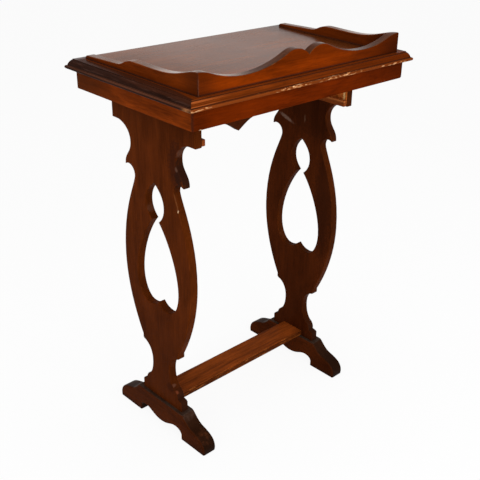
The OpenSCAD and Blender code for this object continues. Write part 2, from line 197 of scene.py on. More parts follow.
def foot_outline():
    """A sledge foot with its toes and shaped underside."""
    return both_sides(outline(
        mm(63, 58),
        (mm(96.5, 35), bend((0.25, 0.08), (0.59, 0.2))),
        (mm(128.5, 6), bend((0.53, 0.17), (0, 0.67))),
        mm(127.5, 0), mm(64, 0), mm(64, 11),
        (mm(46, 21.5), bend((0.09, 0.67), (0.51, 0))),
        (mm(0, 9.5), bend((0.35, 0), (0.48, 0)))))


def rail_outline():
    """The upper rail with its pendant."""
    return both_sides(outline(
        mm(172.5, 683.5), mm(172.5, 607), mm(165.5, 607),
        (mm(64, 579.5), bend((0.24, 0), (0.36, 0))),
        mm(42, 579.5),
        (mm(0, 559.5), bend((0.33, 0), (0.33, 0.45)))))


def long_gallery_outline():
    """The long gallery: two humps, a notch between, a scoop to each corner."""
    hump, notch = mm(29.5, 740.5), mm(0, 728.3)
    scoop, corner = mm(136, 717), mm(230, 734)
    end = 230 + MITRE_SPARE
    return both_sides(outline(
        mm(end, 700 - SUNK), mm(end, 734), corner,
        *ogee(corner, scoop, 0.28), *ogee(scoop, hump, 0.83),
        (notch, arc_from_level)))


def end_gallery_outline():
    """An end gallery, from its high corner to the low run at the open side."""
    corner, dip, knee, run = mm(-143, 734), mm(-45, 719), mm(12, 719.6), mm(57, 708.4)
    start = -143 - MITRE_SPARE
    return outline(
        mm(start, 700 - SUNK), mm(start, 734), corner,
        (dip, bend((0.28, 0), (0.6, 0))),
        *ogee(dip, knee, 0.6), *ogee(knee, run, 0.55),
        mm(135.1, 705.4), (mm(140.5, 700), bend((0.55, 0), (0, 0.55))), mm(140.5, 700 - SUNK))


# Pieces

# Turns that stand a flat outline up, with its thickness along X or along Y
ALONG_X = Matrix(((0, 0, 1, 0), (1, 0, 0, 0), (0, 1, 0, 0), (0, 0, 0, 1)))
ALONG_Y = Matrix(((1, 0, 0, 0), (0, 0, -1, 0), (0, 1, 0, 0), (0, 0, 0, 1)))
# Points closer than these are joined, or count as lying on a cut
JOINED = 2e-6
TOUCHING = 1e-6


def board_mesh(loops, thick, rounding, place, swell=0.0):
    """A board sawn to an outline and rounded, in its place; swell adds to the board's edges."""
    line = bpy.data.curves.new("outline", "CURVE")
    line.dimensions = "2D"
    line.fill_mode = "BOTH"
    line.resolution_u = CURVE_STEPS
    line.bevel_depth = rounding
    line.bevel_resolution = ROUND_STEPS - 1
    line.offset = swell - rounding
    line.extrude = thick / 2 - rounding
    for loop in loops:
        spline = line.splines.new("BEZIER")
        spline.bezier_points.add(len(loop) - 1)
        spline.use_cyclic_u = True
        for point, (place_2d, before, after) in zip(spline.bezier_points, loop):
            point.handle_left_type = "FREE" if before else "VECTOR"
            point.handle_right_type = "FREE" if after else "VECTOR"
            point.co = place_2d.to_3d()
            if before:
                point.handle_left = before.to_3d()
            if after:
                point.handle_right = after.to_3d()
    holder = bpy.data.objects.new("outline", line)
    bpy.context.scene.collection.objects.link(holder)
    sawn = bpy.data.meshes.new_from_object(
        holder.evaluated_get(bpy.context.evaluated_depsgraph_get()))
    bpy.data.objects.remove(holder)
    bpy.data.curves.remove(line)
    bm = bmesh.new()
    bm.from_mesh(sawn)
    bpy.data.meshes.remove(sawn)
    bmesh.ops.transform(bm, matrix=place, verts=bm.verts)
    bmesh.ops.remove_doubles(bm, verts=bm.verts, dist=JOINED)
    bmesh.ops.dissolve_degenerate(bm, edges=bm.edges, dist=TOUCHING)
    bmesh.ops.recalc_face_normals(bm, faces=bm.faces)
    return bm


def cut_off(bm, point, normal):
    """Saws off what lies beyond a plane, and closes the cut."""
    cut = bmesh.ops.bisect_plane(
        bm, geom=bm.verts[:] + bm.edges[:] + bm.faces[:], dist=TOUCHING,
        plane_co=point, plane_no=normal, clear_outer=True)
    edges = [e for e in cut["geom_cut"] if isinstance(e, bmesh.types.BMEdge) and e.is_valid]
    bmesh.ops.holes_fill(bm, edges=edges)


def block_mesh(low, high):
    """A squared block between two corners."""
    bm = bmesh.new()
    bmesh.ops.create_cube(bm, size=1)
    low, high = Vector(low), Vector(high)
    bmesh.ops.scale(bm, vec=high - low, verts=bm.verts)
    bmesh.ops.translate(bm, vec=(low + high) / 2, verts=bm.verts)
    return bm


def ease(bm, edges, by, steps=2):
    """Takes the sharpness off some arrises."""
    bmesh.ops.bevel(bm, geom=list(edges), offset=by, affect="EDGES", segments=steps,
                    profile=0.5, material=-1, clamp_overlap=True)


NARROW = 0.0020     # a face narrower than this can be a strip of a rounded arris


# Turns of a face on a rounded arris, and of a vertex in the middle of one
ARRIS_FROM, ARRIS_TO = 0.02, 0.99
MIDDLE_FROM, MIDDLE_TO = 0.5, 0.9


def turn_of(normal, thick_axis):
    """How far a normal points along the board's thickness or, without one, along its nearest axis."""
    return max(abs(c) for c in normal) if thick_axis is None else abs(normal[thick_axis])


def mark_wear(bm, thick_axis):
    """Marks the middle of every rounded arris, where cloths rub, and each place's turn to the show face."""
    arris = bm.verts.layers.float.new("arris")
    side = bm.verts.layers.float.new("side")
    rounded = set()
    for f in bm.faces:
        narrow = f.calc_area() < NARROW * max(e.calc_length() for e in f.edges)
        if narrow and ARRIS_FROM < turn_of(f.normal, thick_axis) < ARRIS_TO:
            rounded.add(f)
    for v in bm.verts:
        turn = turn_of(v.normal, thick_axis)
        in_middle = MIDDLE_FROM < turn < MIDDLE_TO and all(f in rounded for f in v.link_faces)
        v[arris] = 1.0 if in_middle else 0.0
        v[side] = turn


SHARP = math.radians(38)    # edges that turn further than this are shaded as sharp
FACE_TURN = 0.8     # a face whose normal points this far along the board's thickness is a show face


def set_down(bm, name, finishes, slot, *nodes, thick_axis=None):
    """Makes a finished piece that stands for its CAD nodes; with a thick axis, sawn edges have finish two."""
    bmesh.ops.recalc_face_normals(bm, faces=bm.faces)
    bm.normal_update()
    mark_wear(bm, thick_axis)
    for f in bm.faces:
        f.smooth = True
        if thick_axis is not None:
            f.material_index = 0 if abs(f.normal[thick_axis]) > FACE_TURN else 1
    for e in bm.edges:
        e.smooth = e.calc_face_angle(0) < SHARP
    mesh = bpy.data.meshes.new(name)
    bm.to_mesh(mesh)
    bm.free()
    for finish in finishes:
        mesh.materials.append(finish)
    piece = bpy.data.objects.new(name, mesh)
    bpy.context.scene.collection.objects.link(piece)
    shading = piece.modifiers.new("flat_faces", "WEIGHTED_NORMAL")
    shading.keep_sharp = True
    shading.weight = 50
    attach(piece, "root")
    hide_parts(*nodes)


# Finishes

class Finish:
    """A node material on the piece's own Object coordinates."""

    def __init__(self, name):
        self.material = bpy.data.materials.new(name)
        self.material.use_nodes = True
        self.tree = self.material.node_tree
        self.shader = next(n for n in self.tree.nodes if n.type == "BSDF_PRINCIPLED")
        self.place = self.add("ShaderNodeTexCoord").outputs["Object"]
        self.x, self.y, self.z = self.add("ShaderNodeSeparateXYZ", {0: self.place}).outputs
        self.ragged = self.cloud((240, 240, 240), 4.0, 0.65)

    def add(self, kind, sockets=None, **settings):
        """A new node with its settings and its inputs."""
        node = self.tree.nodes.new(kind)
        for key, value in settings.items():
            setattr(node, key, value)
        for key, value in (sockets or {}).items():
            self.put(node.inputs[key], value)
        return node

    def put(self, socket, value):
        """Links an output to a socket, or gives the socket a value."""
        if isinstance(value, bpy.types.NodeSocket):
            self.tree.links.new(value, socket)
        else:
            socket.default_value = value

    def set(self, **numbers):
        """Numbers that are the same all over, on the shader's own sockets."""
        for key, value in numbers.items():
            self.shader.inputs[key.replace("_", " ")].default_value = value

    def sum(self, operation, a, b=0.0, c=0.0):
        """One operation of the maths node."""
        return self.add("ShaderNodeMath", {0: a, 1: b, 2: c}, operation=operation).outputs[0]

    def times(self, first, *others):
        """The product of two or more values."""
        for other in others:
            first = self.sum("MULTIPLY", first, other)
        return first

    def span(self, value, low, high, to_low=0.0, to_high=1.0):
        """The value's place between low and high, held within the two ends."""
        node = self.add("ShaderNodeMapRange", {
            "Value": value, "From Min": low, "From Max": high,
            "To Min": to_low, "To Max": to_high}, interpolation_type="SMOOTHSTEP")
        return node.outputs["Result"]

    def near(self, value, centre, reach, soft=0.6):
        """1 where a value is close to a number, falling to 0 at the reach."""
        off = self.sum("ABSOLUTE", self.sum("SUBTRACT", value, centre))
        return self.span(off, reach, reach * (1 - soft))

    def cloud(self, per_metre, detail=3.0, rough=0.55, bent=0.0, shift=(0, 0, 0)):
        """Noise with so many features a metre along X, Y and Z."""
        moved = self.add("ShaderNodeMapping", {
            "Vector": self.place, "Scale": per_metre, "Location": shift}).outputs["Vector"]
        node = self.add("ShaderNodeTexNoise", {
            "Vector": moved, "Scale": 1.0, "Detail": detail, "Roughness": rough, "Distortion": bent})
        return node.outputs[0]

    def ramp(self, factor, *stops):
        """Colours that run from stop to stop as the factor grows."""
        node = self.add("ShaderNodeValToRGB", {"Fac": factor})
        while len(node.color_ramp.elements) < len(stops):
            node.color_ramp.elements.new(0.5)
        for element, (at, colour) in zip(node.color_ramp.elements, stops):
            element.position = at
            element.color = colour
        return node.outputs["Color"]

    def paint(self, factor, colour):
        """Lays a colour over the finish where the factor is 1."""
        node = self.add("ShaderNodeMix", data_type="RGBA")
        self.put(node.inputs[0], factor)
        self.put(node.inputs[6], self.colour)
        self.put(node.inputs[7], colour)
        self.colour = node.outputs[2]

    def mark(self, name):
        """A mark that the mesh carries on its vertices."""
        return self.add("ShaderNodeAttribute", attribute_name=name).outputs["Fac"]

    def spot(self, centre, size, turn=(0, 0, 0), soft=0.6):
        """1 inside a ragged egg-shaped spot round a place in millimetres, falling to 0 at its rim."""
        local = self.add("ShaderNodeMapping", {
            "Vector": self.place, "Location": mm(*centre), "Rotation": turn, "Scale": mm(*size)},
            vector_type="TEXTURE").outputs["Vector"]
        away = self.add("ShaderNodeVectorMath", {0: local}, operation="LENGTH").outputs["Value"]
        ragged = self.sum("MULTIPLY_ADD", self.ragged, 1.4, self.sum("SUBTRACT", away, 0.7))
        return self.span(ragged, 1.0, 1.0 - soft)

    def paint_spots(self, marks):
        """Paints spots: each has a place, a size, a turn, a colour and a strength."""
        for centre, size, turn, tint, share in marks:
            self.paint(self.times(self.spot(centre, size, turn), share), srgb(*tint))

    def coat(self, share, ior, rough):
        """A second, glossier polish over a share of the surface."""
        self.put(self.shader.inputs["Coat Weight"], share)
        self.set(Coat_IOR=ior, Coat_Roughness=rough)

    def bump(self, height, strength, distance):
        """Fine relief that only the light shows."""
        node = self.add("ShaderNodeBump", {
            "Height": height, "Strength": strength, "Distance": distance})
        self.put(self.shader.inputs["Normal"], node.outputs["Normal"])

    def close(self):
        """Joins the colour to the shader; the finished material."""
        self.put(self.shader.inputs["Base Color"], self.colour)
        return self.material


GRAIN_X, GRAIN_Y, GRAIN_Z = 0, 1, 2


def along(axis, long, across):
    """Features a metre, few along the grain and many across it."""
    rates = [across] * 3
    rates[axis] = long
    return tuple(rates)


def shade(colour, by):
    """A colour with more or less light in it."""
    red, green, blue, full = srgb(*colour)
    return red * by, green * by, blue * by, full


def wood(name, grain, colour, spread=0.5, gloss=0.36, ior=1.08, seed=0.0, worn=(150, 80, 32), wear=0.5,
         grime=(30, 16, 11)):
    """Stained and polished mahogany: streaks along the grain, soft bands, pores, rubbed arrises."""
    f = Finish(name)
    shift = (seed, seed * 1.7, seed * 2.3)
    # each cloud has its features a metre along the grain and across it
    streak = f.cloud(along(grain, 4.0, 70.0), 4.0, 0.6, 0.4, shift)
    fibre = f.cloud(along(grain, 30.0, 430.0), 3.0, 0.65, 0.0, shift)
    band = f.cloud(along(grain, 10.0, 20.0), 3.0, 0.55, 0.6, shift)
    pores = f.cloud(along(grain, 70.0, 1500.0), 2.0, 0.5, 0.0, shift)
    f.tone = f.sum("MULTIPLY_ADD", band, 0.4, f.sum("MULTIPLY_ADD", fibre, 0.3, f.times(streak, 0.3)))
    f.colour = f.ramp(f.tone, (0.36, shade(colour, 1 - spread)), (0.50, shade(colour, 1)),
                      (0.64, shade(colour, 1 + spread)))
    f.pore = f.span(pores, 0.62, 0.72)
    f.paint(f.times(f.pore, 0.3), srgb(*grime))
    f.rubbed = f.cloud((45, 45, 45), 4.0, 0.6, 0.0, shift)
    f.bare = f.times(f.mark("arris"), f.span(f.rubbed, 0.48, 0.66), wear)
    f.paint(f.bare, srgb(*worn))
    polish = f.cloud((22, 22, 22), 3.0, 0.6, 0.0, shift)
    dull = f.sum("MULTIPLY_ADD", f.bare, 0.2, f.span(polish, 0.3, 0.7, gloss - 0.05, gloss + 0.08))
    f.put(f.shader.inputs["Roughness"], f.sum("MULTIPLY_ADD", f.pore, 0.12, dull))
    f.set(IOR=ior)
    f.bump(f.sum("SUBTRACT", f.times(fibre, 0.5), f.pore), 0.2, 0.0002)
    return f


def top_finish():
    """The flat of the top: high polish inside the gallery, with painted reflections of the gallery boards:
    warm on the ledge round it and inside the front board, dark along their inner foot and towards the right
    board.
    """
    f = wood("polished_top", GRAIN_X, (104, 53, 16), 0.35, gloss=0.2, ior=1.04, seed=1.0)
    # Painted reflection: the warm colour of the front gallery board mirrored in the polish inside it.
    f.paint(f.span(f.y, -0.05, -0.12, 0.0, 0.9), srgb(150, 63, 10))
    past_end = f.sum("SUBTRACT", f.sum("ABSOLUTE", f.x), GALLERY_X)
    past_side = f.sum("SUBTRACT", f.times(f.y, -1.0), GALLERY_Y)
    outside = f.sum("MAXIMUM", past_end, past_side)
    # Painted reflection and shade: a dark band along the inner foot of the gallery boards.
    f.paint(f.span(outside, -GALLERY_T - 0.014, -GALLERY_T - 0.002, 0.0, 0.85), srgb(46, 20, 8))
    # Painted reflection: the top darkens towards the right board, whose shaded inner face it mirrors.
    f.paint(f.span(f.x, GALLERY_X - 0.085, GALLERY_X - 0.03, 0.0, 0.75), srgb(58, 25, 9))
    # Painted reflection: the ledge takes the warm colour of the boards it mirrors; on the ends this strip is
    # narrower and the ledge beyond it is darker.
    f.paint(f.span(outside, -0.002, 0.001, 0.0, 0.9), srgb(98, 40, 8))
    orange = f.span(f.y, -0.08, -0.16, 0.003, 0.012)
    f.paint(f.times(f.span(f.sum("SUBTRACT", past_end, orange), 0.0, 0.003), 0.85), srgb(48, 25, 16))
    f.paint(f.near(outside, 0.0003, 0.0022), srgb(40, 24, 19))
    field = f.span(outside, 0.001, -0.002)
    polish = f.times(field, f.span(f.x, -0.20, -0.06, 0.66, 0.98), f.span(f.x, 0.02, 0.14, 1.0, 0.8))
    f.coat(f.sum("MAXIMUM", polish, f.span(f.y, 0.136, 0.146)), 1.12, 0.2)
    return f.close()


def moulding_finish():
    """The moulded long edges, worn through to the raw wood on the bead."""
    f = wood("moulded_edge", GRAIN_X, (112, 47, 9), 0.5, gloss=0.3, ior=1.04, seed=2.0, wear=0.0)
    # Painted shade: the long edges darken to the right, where less light falls.
    f.paint(f.span(f.x, -0.16, 0.2, 0.0, 0.8), srgb(82, 28, 1))
    lines = f.cloud((5, 420, 420), 3.0, 0.6, 0.2)
    f.paint(f.span(lines, 0.5, 0.64, 0.0, 0.55), srgb(68, 28, 8))
    # Painted highlights: pale lines on the ovolo near the left corner.
    f.paint(f.times(f.span(lines, 0.5, 0.38), f.span(f.x, -0.16, -0.25), 0.7), srgb(168, 88, 40))
    f.paint(f.times(f.span(f.z, BEAD_TOP, BEAD_TOP - 0.0006), 0.7), srgb(122, 58, 20))
    # Painted shade: dark lines in the quirk above the bead and at the foot of the fillet.
    f.paint(f.times(f.near(f.z, BEAD_TOP + 0.0002, 0.0011), 0.85), srgb(44, 23, 15))
    f.paint(f.times(f.near(f.z, TOP_Z - EDGE_FILLET, 0.0010), 0.8), srgb(46, 24, 15))
    splinters = f.cloud((110, 900, 900), 3.0, 0.6)
    raw = f.ramp(splinters, (0.38, srgb(142, 76, 34)), (0.52, srgb(196, 134, 82)),
                 (0.66, srgb(236, 194, 150)))
    dashes = f.cloud((75, 800, 800), 4.0, 0.65, 0.3, (3.0, 5.0, 1.0))
    torn = f.sum("MULTIPLY_ADD", f.mark("chip"), 0.5, dashes)
    f.paint(f.span(torn, 0.68, 0.82), raw)
    return f.close()


def moulding_end_finish():
    """The moulded short edges, end grain that drank the stain."""
    f = wood("moulded_end", GRAIN_Y, (41, 19, 10), 0.6, gloss=0.34, ior=1.07, seed=2.0, wear=0.0)
    rough = f.cloud((240, 26, 360), 4.0, 0.65)
    f.paint(f.span(rough, 0.52, 0.68, 0.0, 0.6), srgb(78, 50, 40))
    f.paint(f.span(rough, 0.44, 0.34, 0.0, 0.6), srgb(26, 12, 8))
    # Painted light on the ends' moulding: a highlight on the upper ovolo, shade in the quirk above the bead,
    # a highlight along the bead and shade on its underside.
    upper = f.span(f.z, TOP_Z - 0.0065, TOP_Z - 0.0035)
    f.paint(f.times(f.span(f.y, 0.06, -0.06), upper, 0.35), srgb(78, 36, 16))
    f.paint(f.times(f.near(f.z, BEAD_TOP + 0.0012, 0.0012), 0.4), srgb(28, 15, 11))
    bead_highlight = f.times(f.near(f.z, BEAD_TOP - 0.0008, 0.0020), f.span(f.y, 0.15, 0.0, 0.4, 0.7))
    f.paint(bead_highlight, srgb(94, 54, 36))
    f.paint(f.times(f.span(f.z, BEAD_TOP - 0.0026, BEAD_TOP - 0.0036), 0.8), srgb(40, 16, 8))
    corner = f.times(f.span(f.y, -0.130, -0.158), f.span(f.z, BEAD_TOP, BEAD_TOP - 0.001),
                     f.span(f.rubbed, 0.35, 0.6))
    f.paint(corner, srgb(178, 118, 72))
    return f.close()


def underside_finish():
    """The hidden underside of the top, thinly stained and left rough."""
    f = wood("rough_underside", GRAIN_X, (86, 44, 20), 0.45, gloss=0.62, ior=1.10, seed=6.0)
    saw = f.cloud((160, 8, 8), 2.0, 0.5)
    f.paint(f.span(saw, 0.5, 0.8, 0.0, 0.3), srgb(60, 30, 15))
    return f.close()


def gallery_finish(name, grain, colour, seed):
    """The show faces of a gallery board, dark in the joint at its foot and in its mitres."""
    f = wood(name, grain, colour, 0.5, gloss=0.3, ior=1.04, seed=seed, worn=(164, 96, 46))
    f.paint(f.times(f.span(f.z, TOP_Z + 0.0030, TOP_Z + 0.0010), 0.75), srgb(58, 32, 24))
    from_corner = f.sum("MAXIMUM", f.sum("SUBTRACT", GALLERY_X, f.sum("ABSOLUTE", f.x)),
                        f.sum("ADD", f.y, GALLERY_Y))
    f.paint(f.times(f.span(from_corner, 0.0026, 0.0006), 0.75), srgb(62, 38, 32))
    f.paint(f.times(f.span(from_corner, 0.050, 0.002), 0.65), srgb(62, 24, 6))
    return f


def long_gallery_finish():
    """The long gallery's face, with painted shade darkening it to the right and a painted highlight down its
    left corner.
    """
    f = gallery_finish("gallery_face", GRAIN_X, (120, 44, 2), 3.0)
    # Painted shade: the face darkens to the right, where less light falls.
    f.paint(f.span(f.x, 0.06, 0.228, 0.0, 0.85), srgb(56, 17, 1))
    f.paint(f.span(f.z, TOP_Z + 0.014, TOP_Z + 0.030, 0.0, 0.5), srgb(78, 27, 1))
    # Painted highlight: a pale line down the near left corner.
    corner_highlight = f.near(f.x, -GALLERY_X + 0.0014, 0.0011)
    f.paint(f.times(corner_highlight, f.span(f.rubbed, 0.4, 0.6), 0.3), srgb(150, 118, 100))
    return f.close()


def gallery_edge_finish(name, grain, colour, seed, ior, dip, reach):
    """The sawn upper edge of a gallery board, glossier in the dip nearest the corner, with a painted pale
    reflection there.
    """
    f = wood(name, grain, colour, 0.5, gloss=0.22, ior=ior, seed=seed, worn=(150, 100, 62))
    run = f.x if grain == GRAIN_X else f.y
    rubbed = f.near(run, dip, reach, 0.9)
    # Painted reflection: a pale glare in the dip, over a glossier coat.
    f.paint(f.times(rubbed, f.span(f.rubbed, 0.35, 0.65), 0.4), srgb(160, 110, 80))
    f.coat(f.times(rubbed, 0.38), 1.5, 0.2)
    return f.close()


def apron_finish(name, grain, colour, seed):
    """An apron board: uneven polish, dark at the mitres."""
    f = wood(name, grain, colour, 0.6, gloss=0.36, ior=1.04, seed=seed)
    uneven = f.cloud(along(grain, 14.0, 60.0), 4.0, 0.6, 0.6)
    f.paint(f.span(uneven, 0.52, 0.70, 0.0, 0.6), shade(colour, 0.5))
    f.paint(f.span(uneven, 0.45, 0.32, 0.0, 0.5), shade(colour, 1.7))
    from_corner = f.sum("MAXIMUM", f.sum("SUBTRACT", APRON_X, f.sum("ABSOLUTE", f.x)),
                        f.sum("SUBTRACT", APRON_Y, f.sum("ABSOLUTE", f.y)))
    f.paint(f.times(f.span(from_corner, 0.0050, 0.0008), 0.65), srgb(52, 28, 21))
    return f


def front_apron_finish():
    """The front and rear aprons, with painted shade darkening them to the right; one pale chip is at the near
    lower left.
    """
    f = apron_finish("apron_face", GRAIN_X, (94, 30, 1), 8.0)
    f.paint(f.times(f.span(f.x, -0.19, -0.235), f.span(f.rubbed, 0.4, 0.6), 0.4), srgb(76, 26, 3))
    f.paint(f.times(f.span(f.x, -0.03, -0.16), f.span(f.x, -0.235, -0.2), 0.3), srgb(132, 46, 2))
    # Painted shade: darker to the right, where less light falls.
    f.paint(f.span(f.x, 0.06, 0.24, 0.0, 0.5), srgb(58, 16, 0))
    f.paint(f.spot((-229.5, -147.5, 651.6), (3.0, 2.0, 1.6)), srgb(226, 196, 160))
    return f.close()


def end_apron_finish():
    """An end apron, with painted shade darkening it towards the open side."""
    f = apron_finish("apron_end_face", GRAIN_Y, (118, 48, 9), 9.0)
    # Painted shade: darker towards the open side, where less light falls.
    f.paint(f.span(f.y, -0.02, 0.147, 0.0, 0.8), srgb(80, 36, 12))
    return f.close()


def panel_finish(name, colour, seed, marks=()):
    """A face of a lyre-shaped panel, darker below, with painted shade at its head under the apron; marks are
    spots of other colours.
    """
    f = wood(name, GRAIN_Z, colour, 0.45, gloss=0.38, ior=1.04, seed=seed, worn=(120, 58, 22))
    f.paint(f.span(f.z, 0.36, 0.08, 0.0, 0.5), shade(colour, 0.55))
    # Painted shade at the head, under the apron and the top.
    f.paint(f.span(f.z, 0.59, 0.66, 0.0, 0.5), shade(colour, 0.5))
    f.paint_spots(marks)
    return f


def panel_edge_finish(name, colour, seed, marks=()):
    """The sawn edges of a panel: unevenly stained, with painted shade darkening them low down."""
    f = wood(name, GRAIN_Z, colour, 0.4, gloss=0.42, ior=1.05, seed=seed, worn=(122, 62, 26))
    f.paint(f.span(f.rubbed, 0.5, 0.7, 0.0, 0.4), shade(colour, 0.6))
    # Painted shade: the edges darken low down, most of all near the foot.
    f.paint(f.span(f.z, 0.20, 0.12, 0.0, 0.5), shade(colour, 0.5))
    f.paint(f.span(f.z, 0.112, 0.084, 0.0, 0.65), srgb(40, 24, 17))
    f.paint_spots(marks)
    return f.close()


def foot_finish(name, colour, round_colour, seed, ior, flat):
    """A foot: darker to the toe and the floor; the rounded arrises share the tones of both sides."""
    f = wood(name, GRAIN_Y, colour, 0.45, gloss=0.36, ior=ior, seed=seed, worn=(112, 62, 36), wear=0.5)
    f.paint(f.span(f.y, -0.03, -0.09, 0.0, 0.7), shade(colour, 0.45))
    f.paint(f.span(f.mark("side"), flat, 0.7, 0.0, 0.5), srgb(*round_colour))
    f.paint(f.span(f.z, 0.012, 0.001, 0.0, 0.5), srgb(34, 18, 12))
    # Grey on the top shelf beside the panel: dust and a painted sheen.
    f.paint(f.times(f.span(f.z, FOOT_H - 0.0012, FOOT_H - 0.0002), f.span(f.rubbed, 0.35, 0.6, 0.3, 0.8)),
            srgb(62, 48, 40))
    toe = f.spot((-182, -84, 24), (18, 24, 18))
    f.paint(f.times(toe, f.span(f.rubbed, 0.35, 0.7), 0.6), srgb(104, 54, 28))
    # Painted sheen: a soft grey highlight on the left foot's shoulder.
    shoulder = f.spot((-180, -44, 52), (18, 10, 12))
    f.paint(f.times(shoulder, f.span(f.rubbed, 0.35, 0.65), 0.35), srgb(100, 78, 66))
    f.paint(f.spot((-165, -83.5, 25), (3.5, 3.0, 2.4)), srgb(196, 150, 108))
    return f.close()


def stretcher_finish():
    """The flat tie: streaky, rubbed pale by shoes along its near arris."""
    f = wood("stretcher_face", GRAIN_X, (126, 58, 18), 0.6, gloss=0.38, ior=1.05, seed=21.0,
             worn=(150, 80, 34), wear=0.7)
    ribbons = f.cloud((9, 160, 160), 4.0, 0.6, 0.4, (4.0, 1.0, 2.0))
    f.paint(f.span(ribbons, 0.5, 0.68, 0.0, 0.6), srgb(78, 33, 10))
    scrapes = f.cloud((38, 300, 300), 4.0, 0.65, 0.3)
    f.paint(f.times(f.span(f.y, 0.0045, 0.0008), f.span(scrapes, 0.46, 0.64), 0.7), srgb(150, 84, 36))
    f.paint(f.times(f.span(f.y, 0.0008, 0.0001), f.span(scrapes, 0.66, 0.5), 0.85), srgb(62, 25, 6))
    return f.close()


def lath_finish():
    """A plain strip at the ear, planed but hardly stained, the right one bare along its upper arris."""
    f = pine("seat_lath_wood", (130, 60, 14))
    f.paint(f.times(f.span(f.z, EAR_Z + 0.0065, EAR_Z + 0.0095), f.span(f.x, 0.0, 0.1),
                    f.span(f.rubbed, 0.35, 0.6, 0.2, 1.0)), srgb(196, 112, 54))
    return f.close()


def pine(name, colour):
    """Planed pine, with rings and fibres along Y."""
    f = Finish(name)
    rings = f.cloud((90, 12, 90), 4.0, 0.6, 0.5)
    fibre = f.cloud((700, 30, 700), 2.0, 0.5)
    f.rubbed = f.cloud((60, 60, 60), 3.0, 0.6)
    tone = f.sum("MULTIPLY_ADD", fibre, 0.4, f.times(rings, 0.6))
    f.colour = f.ramp(tone, (0.3, shade(colour, 0.6)), (0.5, shade(colour, 1)), (0.7, shade(colour, 1.5)))
    f.paint(f.span(f.rubbed, 0.5, 0.75, 0.0, 0.3), shade(colour, 0.5))
    f.put(f.shader.inputs["Roughness"], f.span(fibre, 0.2, 0.8, 0.6, 0.85))
    f.set(IOR=1.2)
    f.bump(tone, 0.4, 0.0004)
    return f


def beech_finish():
    """The pale beech of the dowels."""
    f = Finish("beech_dowel")
    flecks = f.cloud((300, 300, 60), 3.0, 0.6)
    f.colour = f.ramp(flecks, (0.35, srgb(176, 128, 82)), (0.65, srgb(214, 172, 122)))
    f.put(f.shader.inputs["Roughness"], f.span(flecks, 0.2, 0.8, 0.55, 0.75))
    f.bump(flecks, 0.2, 0.0002)
    return f.close()


def steel_finish():
    """The dulled steel of the screws."""
    f = Finish("dulled_screw_steel")
    spots = f.cloud((400, 400, 400), 4.0, 0.65)
    f.colour = f.ramp(spots, (0.35, srgb(70, 62, 56)), (0.6, srgb(136, 130, 122)))
    f.set(Metallic=1.0)
    f.put(f.shader.inputs["Roughness"], f.span(spots, 0.3, 0.7, 0.6, 0.35))
    f.bump(spots, 0.2, 0.0001)
    return f.close()


# The dressed part

OVOLO_STEPS = 10
BEAD_STEPS = 12


def edge_profile():
    """The moulded edge from the upper arris down: set-in from the outer line, and height."""
    arris = EASE_TOP
    steps = [(EDGE_W + arris, TOP_Z), (EDGE_W + arris * 0.3, TOP_Z - arris * 0.3),
             (EDGE_W, TOP_Z - arris), (EDGE_W, TOP_Z - EDGE_FILLET)]
    out, foot = EDGE_W - EDGE_STEP, BEAD_R + QUIRK
    rise = TOP_Z - EDGE_FILLET - UNDER_Z - 2 * BEAD_R
    for i in range(OVOLO_STEPS + 1):
        t = i / OVOLO_STEPS
        a = math.radians(90 * t)
        steps.append((out + (foot - out) * (t + math.sin(a)) / 2,
                      TOP_Z - EDGE_FILLET - rise * (t + 1 - math.cos(a)) / 2))
    for i in range(BEAD_STEPS + 1):
        a = math.radians(90 - 180 * i / BEAD_STEPS)
        steps.append((BEAD_R * (1 - math.cos(a)), UNDER_Z + BEAD_R * (1 + math.sin(a))))
    return steps


# How badly the near bead is chipped, at places along its length
CHIPPED = ((-0.2575, 1.0), (-0.236, 0.9), (-0.225, 0.6), (-0.15, 0.5), (-0.09, 0.6), (-0.05, 0.85),
           (0.0, 0.8), (0.03, 0.65), (0.06, 0.85), (0.1, 0.65), (0.19, 0.55), (0.22, 0.45), (0.2575, 0.6))
CHIP_CUTS = 420
CHIP_IN = 0.0018
CHIP_UP = 0.0006
DEEPEST = 0.5


def chipping(x):
    """How badly the bead is chipped along its length, from 0 to 1."""
    for (x0, a), (x1, b) in zip(CHIPPED, CHIPPED[1:]):
        if x <= x1:
            return a + (b - a) * (x - x0) / (x1 - x0)
    return 0.0


def chip_bead(bm):
    """Breaks chips out of the bead of the near long side, and marks them on the vertices."""
    chip = bm.verts.layers.float["chip"]
    near = [e for e in bm.edges if all(v.co.y < 0 and v.co.z < BEAD_BAND for v in e.verts)
            and abs(e.verts[0].co.x - e.verts[1].co.x) > HALF_LEN]
    cut = bmesh.ops.subdivide_edges(bm, edges=near, cuts=CHIP_CUTS, use_grid_fill=True)
    for v in {g for g in cut["geom_inner"] if isinstance(g, bmesh.types.BMVert)}:
        down = (UNDER_Z + BEAD_R - v.co.z) / BEAD_R
        # small splinters and broad dents; most wood is lost just below the middle of the bead
        rough = noise.noise(Vector((v.co.x * 120, 3.1, v.co.z * 420)))
        broad = noise.noise(Vector((v.co.x * 22, 7.7, v.co.z * 60)))
        depth = 0.8 * rough + 0.7 * broad + 0.9 * chipping(v.co.x) - 0.6 * abs(down - 0.2) - 0.42
        v[chip] = min(1.0, max(0.0, depth * 1.8))
        v.co.y += min(max(depth, 0.0), DEEPEST) * CHIP_IN
        v.co.z += min(max(depth, 0.0), DEEPEST) * CHIP_UP


# The finishes of the top in their order, and what counts as level and as the large underside
FLAT, LONG_EDGE, SHORT_EDGE, BELOW = range(4)
LEVEL_TURN = 0.98
LARGE_AREA = 0.01


